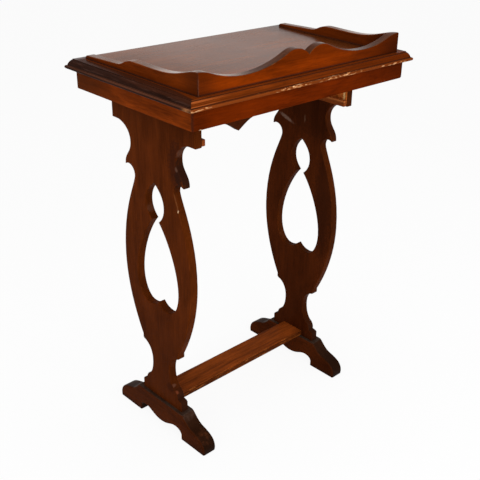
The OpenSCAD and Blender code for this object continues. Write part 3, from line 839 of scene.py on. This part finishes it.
def share_out_finishes(bm):
    """Gives every face of the top its finish."""
    bm.normal_update()
    for f in bm.faces:
        if f.normal.z > LEVEL_TURN:
            f.material_index = FLAT
        elif f.normal.z < -LEVEL_TURN and f.calc_area() > LARGE_AREA:
            f.material_index = BELOW
        else:
            f.material_index = LONG_EDGE if abs(f.normal.y) > abs(f.normal.x) else SHORT_EDGE


def moulded_top():
    """The board of the top with its edge drawn out step by step along the profile."""
    bm = bmesh.new()
    profile = edge_profile()
    bm.verts.layers.float.new("chip")
    bmesh.ops.create_grid(bm, x_segments=1, y_segments=1, size=0.5)

    def lay(verts, step):
        """Puts the vertices of a ring on a step of the profile."""
        for v in verts:
            v.co = (math.copysign(HALF_LEN - step[0], v.co.x),
                    math.copysign(HALF_DEP - step[0], v.co.y), step[1])

    lay(bm.verts, profile[0])
    rim = bm.edges[:]
    mitres = []
    for step in profile[1:]:
        grown = bmesh.ops.extrude_edge_only(bm, edges=rim)["geom"]
        lay([g for g in grown if isinstance(g, bmesh.types.BMVert)], step)
        rim = [g for g in grown if isinstance(g, bmesh.types.BMEdge) and g.is_boundary]
        if step[1] < BEAD_BAND:
            mitres += [g for g in grown if isinstance(g, bmesh.types.BMEdge) and not g.is_boundary]
    bmesh.ops.holes_fill(bm, edges=rim)
    ease(bm, mitres, BEAD_CORNER, 3)
    chip_bead(bm)
    share_out_finishes(bm)
    return bm


LONG_BOARD, END_BOARD = 1, -1     # the two sides of a mitre between gallery boards


def mitred_gallery(knots, place, mitred_sides, board):
    """A gallery board cut level at its foot and mitred at the corners on some sides."""
    bm = board_mesh([knots], GALLERY_T, ROUND_GALLERY, place)
    cut_off(bm, (0, 0, TOP_Z), (0, 0, -1))
    for side in mitred_sides:
        cut_off(bm, (side * GALLERY_X, -GALLERY_Y, TOP_Z), (board * side, board, 0))
    return bm


def mitred_apron(low, high, ends):
    """An apron board with mitred ends and eased arrises; the near right corner is knocked off."""
    bm = block_mesh(low, high)
    for point, normal in ends:
        cut_off(bm, point, normal)
    cut_off(bm, (APRON_X - KNOCKED, -APRON_Y, APRON_LOW), (1, -1, -1))
    ease(bm, bm.edges[:], EASE_APRON)
    return bm


set_down(moulded_top(), "moulded_top",
         (top_finish(), moulding_finish(), moulding_end_finish(), underside_finish()),
         "mahogany_top", "top_board")

at_near_side = Matrix.Translation((0, GALLERY_T / 2 - GALLERY_Y, 0)) @ ALONG_Y
long_edge = gallery_edge_finish("gallery_edge", GRAIN_X, (74, 39, 20), 3.0, 1.10, -0.175, 0.06)
set_down(mitred_gallery(long_gallery_outline(), at_near_side, (-1, 1), LONG_BOARD), "long_gallery_board",
         (long_gallery_finish(), long_edge), "mahogany_gallery", "gallery_long", thick_axis=1)
end_edge = gallery_edge_finish("gallery_end_edge", GRAIN_Y, (96, 51, 18), 5.0, 1.15, -0.07, 0.06)
GALLERY_TONE = {-1: (108, 43, 6), 1: (92, 36, 5)}
for side, word in ((-1, "left"), (1, "right")):
    at_end = Matrix.Translation((side * (GALLERY_X - GALLERY_T / 2), 0, 0)) @ ALONG_X
    face = gallery_finish(word + "_gallery_face", GRAIN_Y, GALLERY_TONE[side], 5.0 + side).close()
    set_down(mitred_gallery(end_gallery_outline(), at_end, (side,), END_BOARD), word + "_gallery_board",
             (face, end_edge), "mahogany_gallery", "gallery_end_" + word, thick_axis=0)

apron_face = front_apron_finish()
apron_end = end_apron_finish()
for side, word in ((-1, "front"), (1, "rear")):
    ends = [((s * APRON_X, side * APRON_Y, UNDER_Z), (s, -side, 0)) for s in (-1, 1)]
    low_y, high_y = sorted((side * APRON_Y, side * (APRON_Y - APRON_T)))
    reach = APRON_X + APRON_SPARE
    set_down(mitred_apron((-reach, low_y, APRON_LOW), (reach, high_y, UNDER_Z), ends),
             word + "_apron_board", (apron_face,), "mahogany_apron", "apron_" + word)
for side, word in ((-1, "left"), (1, "right")):
    ends = [((side * APRON_X, s * APRON_Y, UNDER_Z), (-side, s, 0)) for s in (-1, 1)]
    low_x, high_x = sorted((side * APRON_X, side * (APRON_X - APRON_T)))
    reach = APRON_Y + APRON_SPARE
    set_down(mitred_apron((low_x, -reach, APRON_LOW), (high_x, reach, UNDER_Z), ends),
             word + "_apron_board", (apron_end,), "mahogany_apron", "apron_" + word)

# Old scuffs, nicks, scratches and stains, raw patches, painted shade under the ears and on the right panel's
# inner face, and painted sheen in the hollows, on the panels: place and size in millimetres, turn, colour and
# strength
UPRIGHT = (0, 0, 0)
SCUFFS_SHADE_AND_SHEEN = {
    -1: (((-188.5, -37.7, 474.4), (2, 1.6, 3.4), UPRIGHT, (224, 186, 140), 0.9),
         ((-188.5, -36, 484), (2, 1.2, 9), (0.1, 0, 0), (128, 76, 44), 0.5),
         # Painted shade under the left ear, with a painted sheen spot in it
         ((-188.5, -36, 556), (4, 26, 52), UPRIGHT, (52, 23, 13), 0.65),
         ((-188.5, -40, 536), (4, 12, 22), UPRIGHT, (42, 23, 16), 0.7),
         ((-188.5, -36, 548), (4, 5, 5), UPRIGHT, (112, 82, 68), 0.5),
         ((-188.5, 0, 98), (4, 16, 14), UPRIGHT, (50, 20, 7), 0.6)),
    # Painted shade on the right panel's inner face, under the top and down its near stile
    1: (((172.5, 0, 560), (4, 90, 62), UPRIGHT, (40, 15, 4), 0.5),
        ((172.5, -40, 390), (4, 34, 150), UPRIGHT, (50, 21, 8), 0.7),
        ((172.5, 68, 538.4), (3, 25, 5), (0.33, 0, 0), (132, 104, 90), 0.7),
        ((172.5, 18.7, 548), (3, 2.2, 10), UPRIGHT, (112, 80, 62), 0.65),
        ((172.5, -62, 626), (6, 80, 34), UPRIGHT, (210, 112, 46), 0.95),
        ((172.5, -59, 618), (3, 3, 16), UPRIGHT, (126, 62, 26), 0.7),
        ((172.5, -76, 618), (3, 3.5, 18), UPRIGHT, (255, 214, 142), 0.9))}
EDGE_SCUFFS_SHADE_AND_SHEEN = {
    # Painted shade under the left ear, and painted sheen in the ear's hollow and on the piercing's wall near
    # its cusp
    -1: (((-180.5, -43, 538), (20, 34, 44), UPRIGHT, (38, 20, 13), 0.85),
         ((-180.5, -36, 576), (12, 16, 10), UPRIGHT, (96, 62, 48), 0.6),
         ((-180.5, 47, 452), (12, 8, 10), UPRIGHT, (98, 58, 40), 0.6),
         ((-187.2, -36.2, 474.4), (2.2, 2.0, 2.6), UPRIGHT, (232, 200, 164), 0.9),
         ((-187.2, -31, 488), (2.6, 2.6, 22), (-0.375, 0, 0), (130, 80, 46), 0.35),
         ((-185, -6, 104.5), (6, 5, 4), UPRIGHT, (100, 64, 48), 0.55),
         ((-186, -16.3, 93.3), (4.5, 5, 5), UPRIGHT, (124, 62, 38), 0.6)),
    # Painted shade under the right ear, and a painted highlight on the piercing's lower wall
    1: (((180.5, -43, 540), (12, 22, 28), UPRIGHT, (50, 22, 12), 0.5),
        ((180.5, 66, 285), (12, 16, 20), UPRIGHT, (96, 54, 32), 0.6))}
# Each side's name, and the colours of its panel's faces and sawn edges; the right panel's darker tones are
# partly darker wood and partly painted shade on its inner face
PANEL = {-1: ("left", (85, 36, 9), (79, 33, 6)), 1: ("right", (73, 30, 8), (70, 29, 6))}
FOOT_FACE, FOOT_ROUND = (73, 30, 7), (46, 24, 12)
foot_face = foot_finish("foot_face", FOOT_FACE, FOOT_ROUND, 17.0, 1.04, 0.97)
foot_edge = foot_finish("foot_edge", FOOT_ROUND, FOOT_FACE, 18.0, 1.07, 0.15)
lath_wood = lath_finish()
for side, (word, face_tone, edge_tone) in PANEL.items():
    at_leg = Matrix.Translation((side * LEG_MID, SETBACK, 0)) @ ALONG_X
    seed = 13.0 + side
    panel = board_mesh([panel_outline(), piercing_outline()], LEG_T, ROUND_PANEL, at_leg, LOST * ROUND_PANEL)
    cut_off(panel, (0, 0, FOOT_H), (0, 0, -1))
    cut_off(panel, (0, 0, UNDER_Z), (0, 0, 1))
    set_down(panel, word + "_lyre_panel",
             (panel_finish(word + "_panel_face", face_tone, seed, SCUFFS_SHADE_AND_SHEEN[side]).close(),
              panel_edge_finish(word + "_panel_edge", edge_tone, seed, EDGE_SCUFFS_SHADE_AND_SHEEN[side])),
             "mahogany_trestle", "leg_" + word, thick_axis=0)
    foot = board_mesh([foot_outline()], FOOT_T, ROUND_FOOT, at_leg, LOST * ROUND_FOOT)
    cut_off(foot, (0, 0, 0), (0, 0, -1))
    cut_off(foot, (0, 0, FOOT_H), (0, 0, 1))
    set_down(foot, word + "_sledge_foot", (foot_face, foot_edge),
             "mahogany_trestle", "foot_" + word, thick_axis=0)
    low_x, high_x = sorted((side * LATH_IN, side * LEG_IN))
    lath = block_mesh((low_x, SETBACK - EAR_W, EAR_Z), (high_x, SETBACK + EAR_W, EAR_Z + LATH_H))
    ease(lath, lath.edges[:], EASE_LATH)
    set_down(lath, word + "_seat_lath", (lath_wood,), "raw_pine", "lath_" + word)

at_rail = Matrix.Translation((0, SETBACK, 0)) @ ALONG_Y
set_down(board_mesh([rail_outline()], RAIL_T, ROUND_RAIL, at_rail), "shaped_upper_rail",
         (wood("rail_face", GRAIN_X, (78, 34, 10), gloss=0.4, seed=19.0).close(),
          panel_edge_finish("rail_edge", (60, 27, 10), 19.0)),
         "mahogany_trestle", "upper_rail", thick_axis=1)

tie = block_mesh((-LEG_IN, SETBACK - TIE_HALF, FOOT_H), (LEG_IN, SETBACK + TIE_HALF, FOOT_H + TIE_T))
ease(tie, [e for e in tie.edges if abs(e.verts[0].co.x - e.verts[1].co.x) > LEG_IN], EASE_TIE, 3)
set_down(tie, "stretcher_board", (stretcher_finish(),), "mahogany_stretcher", "stretcher")

# Pieces that keep their CAD form, by the starts of their names
KEPT = {pine("bare_pine", (124, 64, 26)).close(): ("corner_block", "cleat_left", "cleat_right"),
        beech_finish(): ("gallery_dowels", "foot_dowels", "stretcher_dowels", "rail_dowels"),
        steel_finish(): ("cleat_screws", "cleat_side_screws", "lath_screws")}
for finish, starts in KEPT.items():
    for name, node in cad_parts.items():
        if name.startswith(starts):
            if not node.material_slots:
                node.data.materials.append(finish)
            for held in node.material_slots:
                held.material = finish


# Stage, light and camera

FLOOR_HALF = 14
FLOOR_GREY = (0.92, 0.92, 0.92, 1)
FLOOR_WHITE = 0.92
WHITE = (1, 1, 1, 1)
WORLD_LIGHT = 0.5
WHITE_RAYS = ("Is Camera Ray", "Is Glossy Ray", "Is Transmission Ray")


def seen_white(tree):
    """1 for the rays that show the pale background."""
    path = tree.nodes.new("ShaderNodeLightPath")
    total = path.outputs[WHITE_RAYS[0]]
    for ray in WHITE_RAYS[1:]:
        more = tree.nodes.new("ShaderNodeMath")
        more.operation = "MAXIMUM"
        tree.links.new(total, more.inputs[0])
        tree.links.new(path.outputs[ray], more.inputs[1])
        total = more.outputs[0]
    return total


def pale_floor():
    """A nearly white floor that takes soft shadows and can be looked through from below."""
    bm = bmesh.new()
    bmesh.ops.create_grid(bm, x_segments=1, y_segments=1, size=FLOOR_HALF)
    mesh = bpy.data.meshes.new("floor")
    bm.to_mesh(mesh)
    bm.free()
    floor = bpy.data.objects.new("floor", mesh)
    bpy.context.scene.collection.objects.link(floor)
    material = bpy.data.materials.new("pale_floor")
    material.use_nodes = True
    tree = material.node_tree
    tree.nodes.clear()
    out = tree.nodes.new("ShaderNodeOutputMaterial")
    matt = tree.nodes.new("ShaderNodeBsdfDiffuse")
    matt.inputs["Color"].default_value = FLOOR_GREY
    white = tree.nodes.new("ShaderNodeEmission")
    white.inputs["Color"].default_value = WHITE
    white.inputs["Strength"].default_value = 1.0
    share = tree.nodes.new("ShaderNodeMath")
    share.operation = "MULTIPLY"
    tree.links.new(seen_white(tree), share.inputs[0])
    share.inputs[1].default_value = FLOOR_WHITE
    lit = tree.nodes.new("ShaderNodeMixShader")
    tree.links.new(share.outputs[0], lit.inputs[0])
    tree.links.new(matt.outputs[0], lit.inputs[1])
    tree.links.new(white.outputs[0], lit.inputs[2])
    below = tree.nodes.new("ShaderNodeMixShader")
    clear = tree.nodes.new("ShaderNodeBsdfTransparent")
    side = tree.nodes.new("ShaderNodeNewGeometry")
    tree.links.new(side.outputs["Backfacing"], below.inputs[0])
    tree.links.new(lit.outputs[0], below.inputs[1])
    tree.links.new(clear.outputs[0], below.inputs[2])
    tree.links.new(below.outputs[0], out.inputs["Surface"])
    mesh.materials.append(material)


def studio_world():
    """A white surround that lights the part at a lower level than it shows."""
    world = bpy.data.worlds.new("studio")
    bpy.context.scene.world = world
    world.use_nodes = True
    tree = world.node_tree
    back = next(n for n in tree.nodes if n.type == "BACKGROUND")
    back.inputs["Color"].default_value = WHITE
    level = tree.nodes.new("ShaderNodeMapRange")
    tree.links.new(seen_white(tree), level.inputs["Value"])
    level.inputs["To Min"].default_value = WORLD_LIGHT
    level.inputs["To Max"].default_value = 1.0
    tree.links.new(level.outputs["Result"], back.inputs["Strength"])


# Each soft box: name, place, width, height and watts; all are aimed at the middle of the stand
SOFT_BOXES = (("key_soft_box", (-0.3, -2.0, 1.6), 1.2, 1.0, 26),
              ("left_soft_box", (-2.4, -0.6, 1.6), 1.4, 1.2, 12),
              ("top_soft_box", (0, 0, 2.7), 1.2, 1.2, 12))
AIM = (0, 0, 0.45)


def soft_box(name, place, width, height, watts):
    """A rectangular lamp."""
    lamp = bpy.data.lights.new(name, "AREA")
    lamp.shape = "RECTANGLE"
    lamp.size = width
    lamp.size_y = height
    lamp.energy = watts
    holder = bpy.data.objects.new(name, lamp)
    holder.location = place
    holder.rotation_euler = (Vector(AIM) - Vector(place)).to_track_quat("-Z", "Y").to_euler()
    bpy.context.scene.collection.objects.link(holder)


# The camera that was fitted to the photograph: place in metres, turn in degrees, lens in millimetres
CAMERA_PLACE = (-0.9399, -0.9991, 1.0212)
CAMERA_TURN = (63.212, -2.146, -45.782)
CAMERA_LENS = 60.10
CAMERA_SENSOR = 36
CAMERA_SHIFT = (-0.10475, 0.02071)


def photo_camera():
    """The photograph's view, with its colours shown as they are."""
    lens = bpy.data.cameras.new("photo_camera")
    lens.lens = CAMERA_LENS
    lens.sensor_width = CAMERA_SENSOR
    lens.shift_x, lens.shift_y = CAMERA_SHIFT
    camera = bpy.data.objects.new("photo_camera", lens)
    bpy.context.scene.collection.objects.link(camera)
    camera.location = CAMERA_PLACE
    camera.rotation_euler = [math.radians(a) for a in CAMERA_TURN]
    bpy.context.scene.camera = camera
    bpy.context.scene.view_settings.view_transform = "Standard"


pale_floor()
studio_world()
for box in SOFT_BOXES:
    soft_box(*box)
photo_camera()
